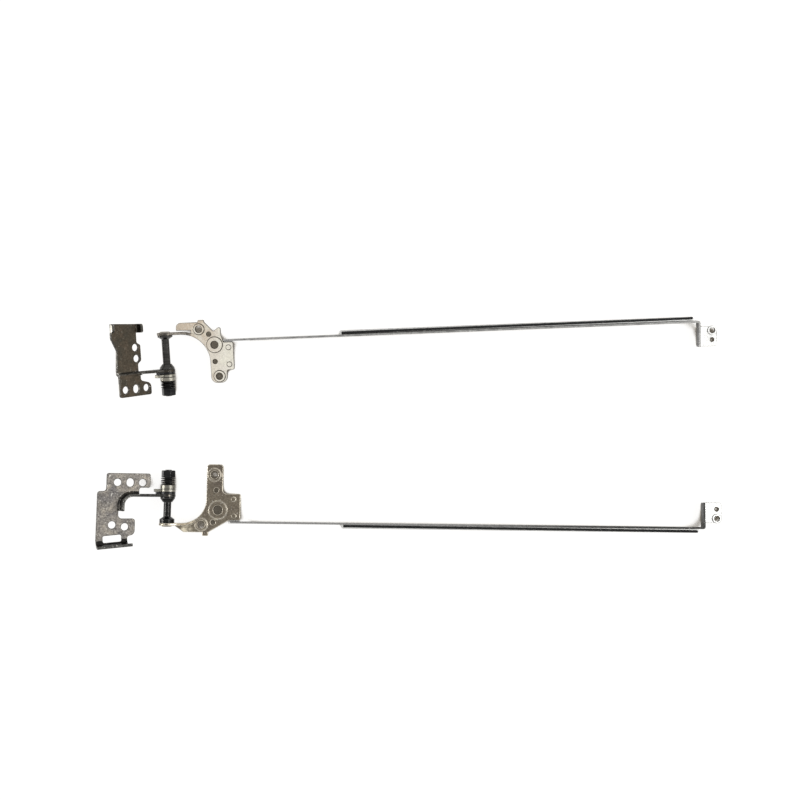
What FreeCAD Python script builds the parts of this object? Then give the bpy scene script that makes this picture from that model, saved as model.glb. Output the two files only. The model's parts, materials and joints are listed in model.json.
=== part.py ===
import FreeCAD, Part
import math
import os

from FreeCAD import Vector

# A left and a right laptop hinge, lying on a table as a pair.
# Each hinge is drawn flat in its own frame, as a right-hand hinge: x runs along the rail from the
# shaft axis, v runs along the shaft from the outer face of the display foot towards the nut, and z
# is the height above the plane of the base plate. The left hinge is then mirrored across its shaft.

# Sheet metal
BASE_SHEET = 1.2
DISPLAY_SHEET = 1.1
RAIL_SHEET = 0.8
AXIS_HEIGHT = 5.4
EYE_RADIUS = 3.2
RUNNING_FIT = 0.05
SEAT_GAP = 0.03

# Shaft and washer stack
TAIL_RADIUS = 1.6
PEEN_RADIUS = 2.2
PEEN_HEIGHT = 0.45
PEEN_CHAMFER = 0.35
HEAD_RADIUS = 3.05
RIGHT_HEAD_LENGTH = 1.6
LEFT_HEAD_LENGTH = 0.7
FLARE_LENGTH = 1.0
NECK_RADIUS = 1.55
SHOULDER_RADIUS = 3.0
TAPER_LENGTH = 1.5
TAPER_STEP = 0.35
COLLAR_LENGTH = 0.6
JOURNAL_RADIUS = 1.7
KEY_RADIUS = 1.55
KEY_HALF_FLAT = 1.15
THREAD_RADIUS = 1.3
THREAD_PROUD = 0.3
RIGHT_ARM_PLACE = 11.8
LEFT_ARM_PLACE = 15.1
WASHER_RADIUS = 3.1
FRICTION_PLATE = 0.8
FRICTION_TAB = 4.9
FRICTION_TAB_WIDTH = 2.2
TAB_WASHER = 1.2
WASHER_TAB = 5.6
WASHER_TAB_WIDTH = 2.6
KEYED_WASHER = 1.6
SPRING_COUNT = 4
SPRING_PITCH = 0.76
SPRING_SHEET = 0.45
SPRING_CONE = 0.2
SPRING_RADIUS = 3.05
SPRING_FIT = 0.1
NUT_HEIGHT = 3.0
NUT_FLATS = 5.0
NUT_CHAMFER = 0.35

# Base brackets
PLATE_CORNER = 0.9
PLATE_ROUND = 1.2
SCREW_HOLE = 1.5
ROW_SPACING = 5.05
OBLONG_EXTRA = 0.5
FLANGE_BEND = 2.2
FLANGE_HEIGHT = 5.5
ARM_BEND = 1.2
ARM_WALL_TOP = 6.0
ARM_CURVE = 3.4
RIGHT_FLANGE_LINE = -5.6
RIGHT_FLANGE_SLANT = 5.0
RIGHT_PLATE_LEFT = -27.6
RIGHT_PLATE_RIGHT = -12.2
RIGHT_FLANGE_RIGHT = -15.1
RIGHT_HOOK_INSET = 1.7
RIGHT_HOOK_LENGTH = 2.5
RIGHT_ARM_ROOT = 3.0
RIGHT_WAIST = 2.8
RIGHT_NOTCH = 1.5
RIGHT_NOTCH_INSET = 0.7
RIGHT_EAR_ROUND = 1.9
RIGHT_SHOULDER = 2.2
RIGHT_LOBE_GAP = 3.7
RIGHT_LOBE_DEPTH = 5.9
RIGHT_LOBE_LEFT = -24.1
RIGHT_LOBE_RIGHT = -6.4
RIGHT_ROW_START = -19.7
RIGHT_ROW_PLACE = RIGHT_ARM_PLACE + 5.8
RIGHT_SLOT_LENGTH = 7.4
RIGHT_SLOT_WIDTH = 2.8
RIGHT_SLOT_SHIFT = 0.25
RIGHT_FLANGE_REACH = 1.5
RIGHT_FLANGE_RISE = 1.0
RIGHT_FLANGE_CORNER = 0.5
LEFT_END_LINE = -4.6
LEFT_END_SLANT = 3.0
LEFT_PLATE_LEFT = -20.7
LEFT_LOBE_LEFT = -21.4
LEFT_END_LEFT = -23.5
LEFT_END_RIGHT = -11.1
LEFT_END_SHOULDER = 6.0
LEFT_END_INSET = 0.5
LEFT_EAR_REACH = 1.7
LEFT_EAR_LOW = 3.4
LEFT_EAR_HIGH = 12.0
LEFT_PLATE_STEP = 1.2
LEFT_STEP_BEND = 0.9
LEFT_STEP_CORNER = 0.3
LEFT_LOBE_GAP = 3.7
LEFT_LOBE_DEPTH = 6.2
LEFT_LOBE_RIGHT = -6.2
LEFT_LOBE_DROP = 1.4
LEFT_LOBE_SWEEP = 2.2
LEFT_ROW_START = -18.7
LEFT_ROW_PLACE = LEFT_ARM_PLACE + 6.9
LEFT_TAB_DEPTH = 3.6
LEFT_TAB_HEIGHT = 2.7
LEFT_TAB_NEAR_HEIGHT = 1.7
LEFT_TAB_ROUND = 0.9
LEFT_TAB_BEND = 0.5
SLOT_CORNER = 0.7
SLOT_BELOW_BEND = 1.25
RIGHT_PAIR = [(-21.4, 0.2), (-16.3, -0.6)]
LEFT_PAIR = [(-11.9, 5.3), (-11.6, 9.8)]

# Display brackets
DISPLAY_UNDERSIDE = 2.2
BOSS_HEIGHT = 0.45
PILOT_HOLE = 0.95
RIGHT_FOOT_CURVE = 9.8
LEFT_FOOT_CURVE = 11.9
FOOT_CURVE_START = 5.8
RIGHT_FOOT_SWEEP = 34.0
LEFT_FOOT_SWEEP = 21.0
RIGHT_LOBE_ROUND = 1.3
LEFT_LOBE_ROUND = 2.5
FOOT_SLIT = 0.5
DISPLAY_CORNER = 0.8
NUB_CORNER = 0.6
SLIT_CORNER = 0.2
RIGHT_DISPLAY_END = 29.9
RIGHT_DISPLAY_SHOULDER = 13.4
RIGHT_SHOULDER_ROUND = 1.6
RIGHT_LOBE_EDGE = 22.4
RIGHT_LOBE_TIP = 25.6
RIGHT_TONGUE_ROOT = 2.6
RIGHT_TONGUE_CORNER = 6.4
RIGHT_TONGUE_EDGE = -2.7
RIGHT_NUB_START = 14.2
RIGHT_NUB_END = 16.7
RIGHT_NUB_TIP = -4.2
LEFT_DISPLAY_END = 27.6
LEFT_DISPLAY_SHOULDER = 16.6
LEFT_LOBE_EDGE = 24.4
LEFT_LOBE_TIP = 21.9
LEFT_SLIT_END = 10.2
LEFT_TONGUE_ROOT = 4.2
LEFT_TONGUE_EDGE = -3.7
LEFT_TONGUE_ROUND = 2.0
LEFT_NUB_START = 13.3
LEFT_NUB_END = 16.0
LEFT_NUB_TIP = -4.6
LEFT_VALLEY = (19.6, 0.3)
LEFT_VALLEY_ROUND = 0.5
LEFT_SPUR = (22.7, -2.1)
LEFT_SPUR_ROUND = 0.8
LEFT_SPUR_FOOT = 2.0
# Raised screw bosses as (x, v, pad radius, hole radius), pilot holes and rivets as (x, v)
RIGHT_SCREW = 1.55
LEFT_SCREW = 1.4
RIGHT_BOSSES = [(18.8, 21.2, 2.7, RIGHT_SCREW), (20.6, 6.6, 3.8, 1.85), (13.8, 0.5, 2.6, RIGHT_SCREW)]
LEFT_BOSSES = [(21.2, 19.1, 2.4, LEFT_SCREW), (19.9, 5.9, 3.3, 1.55), (13.7, -0.8, 2.3, LEFT_SCREW)]
RIGHT_PILOTS = [(19.7, 14.8), (18.6, 1.5)]
LEFT_PILOTS = [(17.7, 1.4), (19.7, 12.9)]
RIGHT_RIVETS = [(27.0, 11.1), (27.3, 4.1)]
LEFT_RIVETS = [(25.6, 7.2), (25.6, 14.3)]

# Rails
RAIL_HEIGHT = 4.2
RAIL_BEND = 0.2
RAIL_CORNER = 0.6
RAIL_CLEARANCE = 0.4
RIGHT_RAIL_PLACE = 1.15
LEFT_RAIL_PLACE = 3.75
RIGHT_RAIL_START = 25.2
LEFT_RAIL_START = 23.6
RIGHT_RAIL_END = 223.4
LEFT_RAIL_END = 222.0
RAIL_STEP_START = 31.0
RAIL_STEP_END = 34.0
RAIL_FLANGE_WIDTH = 2.5
RAIL_FLANGE_START = 72.0
TAB_LENGTH = 10.9
TAB_REACH = 7.8
TAB_FACE_LENGTH = 8.3
TAB_CORNER = 1.2
TAB_ROUND = 2.0
TAB_BOSS_RADIUS = 1.9
TAB_BOSS_HOLE = 1.15
TAB_BOSS_PLACE = 4.3
TAB_PILOT_PLACE = 8.2
TAB_HOLE_REACH = 5.7
STRIP_WIDTH = 0.95
STRIP_NEAR_GAP = 0.22
STRIP_FAR_GAP = 0.6
STRIP_HEIGHT = 1.2
STRIP_END_GAP = 2.6
STRIP_START_GAP = 0.9

# Rivets
RIVET_RADIUS = 0.8
RIVET_HEAD_RADIUS = 1.25
RIGHT_RIVET_HEAD = 0.35
LEFT_RIVET_HEAD = 0.15
RIVET_TAIL_HEAD = 0.1
RIVET_RIM = 0.35
RIVET_FIT = 0.02

# How the pair lies on the table
RIGHT_BASE_RAISED = 25.0
LEFT_BASE_RAISED = 52.0
LEFT_YAW = 2.86
LEFT_SHIFT = -1.7
PAIR_SPACING = 81.0

DISPLAY_TOP = DISPLAY_UNDERSIDE + DISPLAY_SHEET
FOOT_LEVEL = DISPLAY_UNDERSIDE - RAIL_SHEET


def face_of(corners, lift):
    """A flat face from corners (a, b, radius); lift turns (a, b) into a point in space."""
    count = len(corners)
    joins = []
    for i in range(count):
        here = Vector(corners[i][0], corners[i][1], 0)
        back = Vector(corners[i - 1][0], corners[i - 1][1], 0) - here
        ahead = Vector(corners[(i + 1) % count][0], corners[(i + 1) % count][1], 0) - here
        radius = corners[i][2]
        if radius == 0:
            joins.append((here, None, here))
            continue
        back.normalize()
        ahead.normalize()
        half = back.getAngle(ahead) / 2
        reach = radius / math.tan(half)
        middle = (back + ahead).normalize()
        centre = here + middle * (radius / math.sin(half))
        joins.append((here + back * reach, centre - middle * radius, here + ahead * reach))
    edges = []
    for i in range(count):
        start, mid, end = joins[i]
        if mid is not None:
            edges.append(Part.Arc(lift(start), lift(mid), lift(end)).toShape())
        following = joins[(i + 1) % count][0]
        if end.distanceToPoint(following) > 1e-6:
            edges.append(Part.LineSegment(lift(end), lift(following)).toShape())
    return Part.Face(Part.Wire(edges))


def plate(corners, bottom, thickness):
    """A sheet with a rounded outline, lying flat."""
    face = face_of(corners, lambda p: Vector(p.x, p.y, bottom))
    return face.extrude(Vector(0, 0, thickness))


def upright(corners, place, thickness):
    """A sheet standing across the shaft: corners are (x, z, radius)."""
    face = face_of(corners, lambda p: Vector(p.x, place, p.y))
    return face.extrude(Vector(0, thickness, 0))


def section_along(corners, start, end):
    """A bent section with corners (v, z, radius), drawn out along x."""
    face = face_of(corners, lambda p: Vector(start, p.x, p.y))
    return face.extrude(Vector(end - start, 0, 0))


def upright_hole(x, v, radius):
    """A cutter for a hole through flat sheet."""
    return Part.makeCylinder(radius, 4 * AXIS_HEIGHT, Vector(x, v, -AXIS_HEIGHT))


def shaft_disc(radius, start, end):
    """A cylinder on the shaft axis."""
    return Part.makeCylinder(radius, end - start, Vector(0, start, AXIS_HEIGHT), Vector(0, 1, 0))


def bend_section(inner, sheet, top):
    """A wall bent up from flat sheet: corners (distance outwards, z, radius)."""
    outer = inner + sheet
    return [(0, 0, 0), (outer, 0, outer), (outer, top, 0),
            (inner, top, 0), (inner, sheet, inner), (0, sheet, 0)]


def outer_flange(left, right):
    """The stiffening flange on the outer edge, drawn with the plate's edge at v = 0; the wall overhangs."""
    section = [(-out, z, radius) for out, z, radius in bend_section(FLANGE_BEND, BASE_SHEET, FLANGE_HEIGHT)]
    foot = BASE_SHEET + FLANGE_BEND
    tip = right + RIGHT_FLANGE_REACH
    reach = upright([
        (right - BASE_SHEET, foot, 0), (right, foot, 0), (tip, foot + RIGHT_FLANGE_RISE, RIGHT_FLANGE_CORNER),
        (tip, FLANGE_HEIGHT, RIGHT_FLANGE_CORNER), (right - BASE_SHEET, FLANGE_HEIGHT, 0)], -foot, BASE_SHEET)
    return section_along(section, left, right).fuse(reach)


def flange_slot(left, right):
    """The cutter for the slot across the flange's bend."""
    start = (left + right - RIGHT_SLOT_LENGTH) / 2 + RIGHT_SLOT_SHIFT
    end = start + RIGHT_SLOT_LENGTH
    low = -SLOT_BELOW_BEND
    high = low + RIGHT_SLOT_WIDTH
    return plate([(start, low, SLOT_CORNER), (end, low, SLOT_CORNER),
                  (end, high, SLOT_CORNER), (start, high, SLOT_CORNER)], -BASE_SHEET, FLANGE_HEIGHT)


def end_tab(x, way, start, height):
    """A short wall folded up from a side of the plate: way is 1 on the right edge and -1 on the left."""
    bend = LEFT_TAB_BEND + BASE_SHEET
    top = BASE_SHEET + height
    stop = start + LEFT_TAB_DEPTH
    section = [(x - way * (bend - out), z, r) for out, z, r in bend_section(LEFT_TAB_BEND, BASE_SHEET, top)]
    rounded = section_along([(start, 0, 0), (stop, 0, 0), (stop, top, LEFT_TAB_ROUND),
                             (start, top, LEFT_TAB_ROUND)], x - bend, x + bend)
    return upright(section, start, LEFT_TAB_DEPTH).common(rounded)


def set_on_edge(shape, left, right, line, slant):
    """Turns a flange piece to the slant of the plate's outer edge."""
    shape.rotate(Vector((left + right) / 2, 0, 0), Vector(0, 0, 1), slant)
    shape.translate(Vector(0, line, 0))
    return shape


def slanted_edge(x, left, right, line, slant):
    """Where a plate's slanted outer edge lies, at x."""
    return line + (x - (left + right) / 2) * math.tan(math.radians(slant))


def screw_row(start, v):
    """Cutters for a row of three screw holes, the middle one oblong."""
    cutters = [upright_hole(start, v, SCREW_HOLE), upright_hole(start + 2 * ROW_SPACING, v, SCREW_HOLE)]
    middle = start + ROW_SPACING
    for side in (-1, 1):
        cutters.append(upright_hole(middle, v + side * OBLONG_EXTRA / 2, SCREW_HOLE))
    cutters.append(Part.makeBox(2 * SCREW_HOLE, OBLONG_EXTRA, 4 * AXIS_HEIGHT,
                                Vector(middle - SCREW_HOLE, v - OBLONG_EXTRA / 2, -AXIS_HEIGHT)))
    return cutters


def arm_eye(place):
    """The ring on the arm that the shaft turns in."""
    return shaft_disc(EYE_RADIUS, place, place + BASE_SHEET)


def right_base_bracket():
    """Plate with a three-hole lobe, a two-hole lobe, the outer flange and the hooked arm."""
    arm = RIGHT_ARM_PLACE
    curve = ARM_CURVE + BASE_SHEET + ARM_BEND
    hook_x = RIGHT_PLATE_RIGHT - RIGHT_HOOK_INSET
    hook_v = arm - ARM_CURVE
    hook_end = hook_v - RIGHT_HOOK_LENGTH
    notch_x = hook_x - curve + RIGHT_NOTCH_INSET
    arm_root = hook_x + RIGHT_ARM_ROOT
    lobe_low = arm + RIGHT_LOBE_GAP
    lobe_high = lobe_low + RIGHT_LOBE_DEPTH
    left, right = RIGHT_PLATE_LEFT, RIGHT_FLANGE_RIGHT
    line, slant = RIGHT_FLANGE_LINE, RIGHT_FLANGE_SLANT
    shoulder = arm + RIGHT_SHOULDER
    outline = [
        (RIGHT_LOBE_LEFT, lobe_high, PLATE_CORNER), (RIGHT_LOBE_LEFT, shoulder, PLATE_ROUND),
        (left, shoulder, PLATE_ROUND), (left, slanted_edge(left, left, right, line, slant), 0),
        (right, slanted_edge(right, left, right, line, slant), 0), (right, line + PLATE_ROUND, PLATE_CORNER),
        (RIGHT_PLATE_RIGHT, line + RIGHT_EAR_ROUND, RIGHT_EAR_ROUND),
        (RIGHT_PLATE_RIGHT, RIGHT_WAIST, PLATE_ROUND), (notch_x, RIGHT_WAIST, RIGHT_NOTCH),
        (notch_x, hook_end, 0), (hook_x - curve, hook_end, 0),
        (hook_x - curve, hook_v + curve, curve), (arm_root, hook_v + curve, 0),
        (arm_root, lobe_low, PLATE_CORNER), (RIGHT_LOBE_RIGHT, lobe_low, PLATE_CORNER),
        (RIGHT_LOBE_RIGHT, lobe_high, PLATE_CORNER)]
    body = plate(outline, 0, BASE_SHEET)

    bend = bend_section(ARM_BEND, BASE_SHEET, ARM_WALL_TOP)
    section = [(curve - out, z, radius) for out, z, radius in bend]
    along_bar = section_along([(hook_v + r, z, radius) for r, z, radius in section], hook_x, arm_root)
    across = face_of(section, lambda p: Vector(hook_x - p.x, hook_v, p.y))
    hook = across.extrude(Vector(0, -RIGHT_HOOK_LENGTH, 0))
    turn = across.revolve(Vector(hook_x, hook_v, 0), Vector(0, 0, 1), -90)
    strip = upright([(arm_root, BASE_SHEET + ARM_BEND, 0), (0, AXIS_HEIGHT - EYE_RADIUS, 0),
                     (0, AXIS_HEIGHT + EYE_RADIUS, 0), (arm_root, ARM_WALL_TOP, 0)], arm, BASE_SHEET)
    flange = set_on_edge(outer_flange(left, right), left, right, line, slant)
    slot = set_on_edge(flange_slot(left, right), left, right, line, slant)
    body = body.multiFuse([along_bar, hook, turn, strip, arm_eye(arm), flange]).removeSplitter()

    cutters = screw_row(RIGHT_ROW_START, RIGHT_ROW_PLACE)
    cutters += [upright_hole(x, v, SCREW_HOLE) for x, v in RIGHT_PAIR]
    cutters += [slot, shaft_disc(JOURNAL_RADIUS + RUNNING_FIT, arm - 1, arm + BASE_SHEET + 1)]
    return body.cut(cutters)


def left_base_bracket():
    """Plate with a two-hole edge, stepped up to a three-hole lobe; the riser runs out as the arm."""
    arm = LEFT_ARM_PLACE
    step = LEFT_PLATE_STEP
    lobe_top = step + BASE_SHEET
    riser = arm + BASE_SHEET
    left, right = LEFT_END_LEFT, LEFT_END_RIGHT
    bend = LEFT_TAB_BEND + BASE_SHEET
    left_end = slanted_edge(left + bend, left, right, LEFT_END_LINE, LEFT_END_SLANT)
    right_end = slanted_edge(right, left, right, LEFT_END_LINE, LEFT_END_SLANT)
    left_tab = left_end + LEFT_TAB_DEPTH
    left_side = left + LEFT_END_INSET
    ear = right + LEFT_EAR_REACH
    main = plate([
        (LEFT_LOBE_LEFT, arm - BASE_SHEET, 0), (LEFT_PLATE_LEFT, LEFT_END_SHOULDER, PLATE_ROUND),
        (left_side, LEFT_END_SHOULDER - 4 * BASE_SHEET, 2 * BASE_SHEET),
        (left_side, left_tab, 0), (left + bend, left_tab, 0), (left + bend, left_end, 0),
        (right, right_end, 0), (right, LEFT_EAR_LOW, PLATE_CORNER),
        (ear, LEFT_EAR_LOW + PLATE_CORNER, PLATE_CORNER), (ear, LEFT_EAR_HIGH - PLATE_ROUND, PLATE_ROUND),
        (right, LEFT_EAR_HIGH, PLATE_ROUND), (right, arm - BASE_SHEET, 0)], 0, BASE_SHEET)
    lobe_low = arm + LEFT_LOBE_GAP
    lobe_high = lobe_low + LEFT_LOBE_DEPTH
    lobe = plate([
        (LEFT_LOBE_LEFT, riser + BASE_SHEET, 0), (right, riser + BASE_SHEET, 0),
        (right, lobe_low, PLATE_ROUND), (LEFT_LOBE_RIGHT, lobe_low + LEFT_LOBE_DROP, LEFT_LOBE_SWEEP),
        (LEFT_LOBE_RIGHT, lobe_high, PLATE_CORNER), (LEFT_LOBE_LEFT, lobe_high, PLATE_CORNER)],
        step, BASE_SHEET)
    joggle = section_along([
        (arm - BASE_SHEET, 0, 0), (riser, 0, LEFT_STEP_BEND), (riser, step, LEFT_STEP_CORNER),
        (riser + BASE_SHEET, step, 0), (riser + BASE_SHEET, lobe_top, 0), (arm, lobe_top, LEFT_STEP_BEND),
        (arm, BASE_SHEET, LEFT_STEP_CORNER), (arm - BASE_SHEET, BASE_SHEET, 0)], LEFT_LOBE_LEFT, right)
    strip = upright([
        (right, LEFT_STEP_BEND, 0), (0, AXIS_HEIGHT - EYE_RADIUS, 0),
        (0, AXIS_HEIGHT + EYE_RADIUS, 0), (right, lobe_top - LEFT_STEP_BEND, 0)], arm, BASE_SHEET)
    tabs = [end_tab(left, -1, left_end, LEFT_TAB_NEAR_HEIGHT),
            end_tab(right + bend, 1, right_end, LEFT_TAB_HEIGHT)]
    body = main.multiFuse([lobe, joggle, strip, arm_eye(arm)] + tabs).removeSplitter()

    cutters = screw_row(LEFT_ROW_START, LEFT_ROW_PLACE)
    cutters += [upright_hole(x, v, SCREW_HOLE) for x, v in LEFT_PAIR]
    cutters.append(shaft_disc(JOURNAL_RADIUS + RUNNING_FIT, arm - 1, arm + BASE_SHEET + 1))
    return body.cut(cutters)


def friction_plate(arm):
    """Dark washer against the eye, with a short tab that keeps it from turning."""
    start = arm + BASE_SHEET + SEAT_GAP
    return tabbed_washer(start, FRICTION_PLATE, FRICTION_TAB, FRICTION_TAB_WIDTH)


def tab_washer(arm):
    """Bright washer with the longer tab."""
    start = arm + BASE_SHEET + FRICTION_PLATE + 2 * SEAT_GAP
    return tabbed_washer(start, TAB_WASHER, WASHER_TAB, WASHER_TAB_WIDTH)


def tabbed_washer(start, thickness, tab, tab_width):
    """A washer on the journal with one square tab pointing away from the rail."""
    ring = shaft_disc(WASHER_RADIUS, start, start + thickness)
    tongue = Part.makeBox(tab, thickness, tab_width, Vector(-tab, start, AXIS_HEIGHT - tab_width / 2))
    bore = shaft_disc(JOURNAL_RADIUS + RUNNING_FIT, start - 1, start + thickness + 1)
    return ring.fuse(tongue).cut(bore).removeSplitter()


def stack_start(arm):
    """Where the washers that turn with the shaft begin."""
    return arm + BASE_SHEET + FRICTION_PLATE + TAB_WASHER + 3 * SEAT_GAP


def spring_start(arm):
    return stack_start(arm) + KEYED_WASHER + SEAT_GAP


def nut_start(arm):
    return spring_start(arm) + SPRING_COUNT * SPRING_PITCH + SEAT_GAP


def shaft(arm, head_length):
    """One turned piece: riveted end, head, flare, neck, tapered shoulder, journal, flats and thread."""
    head = DISPLAY_SHEET
    flare = head + head_length
    neck = flare + FLARE_LENGTH
    collar_end = arm - SEAT_GAP
    taper_end = collar_end - COLLAR_LENGTH
    taper_start = taper_end - TAPER_LENGTH
    journal_end = stack_start(arm)
    flats_end = nut_start(arm)
    thread_end = flats_end + NUT_HEIGHT + THREAD_PROUD
    profile = [
        (0, -PEEN_HEIGHT, 0), (PEEN_RADIUS - PEEN_CHAMFER, -PEEN_HEIGHT, 0), (PEEN_RADIUS, 0, 0),
        (TAIL_RADIUS, 0, 0), (TAIL_RADIUS, head, 0), (HEAD_RADIUS, head, 0), (HEAD_RADIUS, flare, 0),
        (NECK_RADIUS, neck, 0), (NECK_RADIUS, taper_start, 0), (NECK_RADIUS + TAPER_STEP, taper_start, 0),
        (SHOULDER_RADIUS, taper_end, 0), (SHOULDER_RADIUS, collar_end, 0),
        (JOURNAL_RADIUS, collar_end, 0), (JOURNAL_RADIUS, journal_end, 0),
        (KEY_RADIUS, journal_end, 0), (KEY_RADIUS, flats_end, 0), (THREAD_RADIUS, flats_end, 0),
        (THREAD_RADIUS, thread_end, 0), (0, thread_end, 0)]
    section = face_of(profile, lambda p: Vector(p.x, p.y, AXIS_HEIGHT))
    turned = section.revolve(Vector(0, 0, AXIS_HEIGHT), Vector(0, 1, 0), 360)
    flats = []
    for low in (KEY_HALF_FLAT, -KEY_HALF_FLAT - KEY_RADIUS):
        flats.append(Part.makeBox(2 * KEY_RADIUS, flats_end - journal_end, KEY_RADIUS,
                                  Vector(-KEY_RADIUS, journal_end, AXIS_HEIGHT + low)))
    return turned.cut(flats)


def keyed_washer(arm):
    """Bright washer with a flat-sided hole on the shaft's flats."""
    start = stack_start(arm) + SEAT_GAP / 2
    ring = shaft_disc(WASHER_RADIUS, start, start + KEYED_WASHER)
    bore = shaft_disc(KEY_RADIUS + SEAT_GAP, start - 1, start + KEYED_WASHER + 1)
    half = KEY_HALF_FLAT + SEAT_GAP
    key = bore.common(Part.makeBox(4 * KEY_RADIUS, KEYED_WASHER + 4, 2 * half,
                                   Vector(-2 * KEY_RADIUS, start - 2, AXIS_HEIGHT - half)))
    return ring.cut(key)


def disc_springs(arm):
    """Cup springs, each turned over against the next."""
    springs = []
    sheet = SPRING_SHEET / 2
    for i in range(SPRING_COUNT):
        middle = spring_start(arm) + (i + 0.5) * SPRING_PITCH
        cone = SPRING_CONE / 2 * (1 if i % 2 == 0 else -1)
        hole = KEY_RADIUS + SPRING_FIT
        corners = [(hole, middle - cone - sheet, 0), (SPRING_RADIUS, middle + cone - sheet, 0),
                   (SPRING_RADIUS, middle + cone + sheet, 0), (hole, middle - cone + sheet, 0)]
        face = face_of(corners, lambda p: Vector(p.x, p.y, AXIS_HEIGHT))
        springs.append(face.revolve(Vector(0, 0, AXIS_HEIGHT), Vector(0, 1, 0), 360))
    return Part.makeCompound(springs)


def lock_nut(arm):
    """Hexagon nut with chamfered corners, a flat side down."""
    start = nut_start(arm)
    corner = NUT_FLATS / math.sqrt(3)
    corners = []
    for i in range(6):
        angle = math.radians(60 * i)
        corners.append((corner * math.cos(angle), AXIS_HEIGHT + corner * math.sin(angle), 0))
    hexagon = upright(corners, start, NUT_HEIGHT)
    end = start + NUT_HEIGHT
    rounded = face_of([(0, start, 0), (corner - NUT_CHAMFER, start, 0), (corner, start + NUT_CHAMFER / 2, 0),
                       (corner, end - NUT_CHAMFER / 2, 0), (corner - NUT_CHAMFER, end, 0), (0, end, 0)],
                      lambda p: Vector(p.x, p.y, AXIS_HEIGHT))
    barrel = rounded.revolve(Vector(0, 0, AXIS_HEIGHT), Vector(0, 1, 0), 360)
    return hexagon.common(barrel).cut(shaft_disc(THREAD_RADIUS + RIVET_FIT, start - 1, end + 1))


def foot_wall(curve, sweep):
    """The foot: an eye on the shaft's riveted end, and a wall that dies away along the plate's curve."""
    outer = curve + DISPLAY_SHEET
    centre = Vector(FOOT_CURVE_START, outer, 0)
    top = AXIS_HEIGHT + EYE_RADIUS
    end = FOOT_CURVE_START + outer * math.sin(math.radians(sweep))
    bar = Part.makeBox(FOOT_CURVE_START, DISPLAY_SHEET, top)
    sector = Part.makeCylinder(outer, top, centre, Vector(0, 0, 1), sweep)
    sector = sector.cut(Part.makeCylinder(curve, top, centre))
    sector.rotate(centre, Vector(0, 0, 1), -90)
    side = upright([
        (0, DISPLAY_UNDERSIDE, 0), (end, DISPLAY_UNDERSIDE, 0), (end, DISPLAY_TOP, 0), (0, top, 0)],
        -outer, 3 * outer)
    wall = bar.fuse(sector).removeSplitter().common(side)
    eye = shaft_disc(EYE_RADIUS, 0, DISPLAY_SHEET)
    return wall.fuse(eye)


def display_bracket(outline, foot, bosses, pilots, rivets):
    """Stamped plate with the foot, raised screw bosses, pilot holes and rivet holes."""
    body = plate(outline, DISPLAY_UNDERSIDE, DISPLAY_SHEET).fuse(foot)
    pads = [Part.makeCylinder(pad, BOSS_HEIGHT + DISPLAY_SHEET / 2,
                              Vector(x, v, DISPLAY_TOP - DISPLAY_SHEET / 2)) for x, v, pad, hole in bosses]
    body = body.multiFuse(pads).removeSplitter()
    cutters = [upright_hole(x, v, hole) for x, v, pad, hole in bosses]
    cutters += [upright_hole(x, v, PILOT_HOLE) for x, v in pilots]
    cutters += [upright_hole(x, v, RIVET_RADIUS + RIVET_FIT) for x, v in rivets]
    cutters.append(shaft_disc(TAIL_RADIUS + RIVET_FIT, -1, DISPLAY_SHEET + 1))
    return body.cut(cutters)


def right_display_bracket():
    """Plate with the tongue to the foot, a locating nub, the rail's seat and the screw lobe."""
    curve = RIGHT_FOOT_CURVE
    seat = RIGHT_RAIL_PLACE + RAIL_SHEET + RAIL_CLEARANCE
    arc_x = FOOT_CURVE_START + curve
    shoulder = RIGHT_DISPLAY_SHOULDER
    outline = [
        (RIGHT_TONGUE_ROOT, 0, 0), (RIGHT_TONGUE_CORNER, RIGHT_TONGUE_EDGE, DISPLAY_CORNER),
        (RIGHT_NUB_START, RIGHT_TONGUE_EDGE, 0), (RIGHT_NUB_START, RIGHT_NUB_TIP, NUB_CORNER),
        (RIGHT_NUB_END, RIGHT_NUB_TIP, NUB_CORNER), (RIGHT_NUB_END, RIGHT_TONGUE_EDGE, 0),
        (RIGHT_RAIL_START, seat, DISPLAY_CORNER), (RIGHT_DISPLAY_END, seat, NUB_CORNER),
        (RIGHT_DISPLAY_END, shoulder, DISPLAY_CORNER), (RIGHT_LOBE_EDGE, shoulder, RIGHT_SHOULDER_ROUND),
        (RIGHT_LOBE_EDGE, RIGHT_LOBE_TIP, RIGHT_LOBE_ROUND), (arc_x, RIGHT_LOBE_TIP, RIGHT_LOBE_ROUND),
        (arc_x, DISPLAY_SHEET, curve), (RIGHT_TONGUE_ROOT, DISPLAY_SHEET, 0)]
    foot = foot_wall(curve, RIGHT_FOOT_SWEEP)
    return display_bracket(outline, foot, RIGHT_BOSSES, RIGHT_PILOTS, RIGHT_RIVETS)


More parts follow.
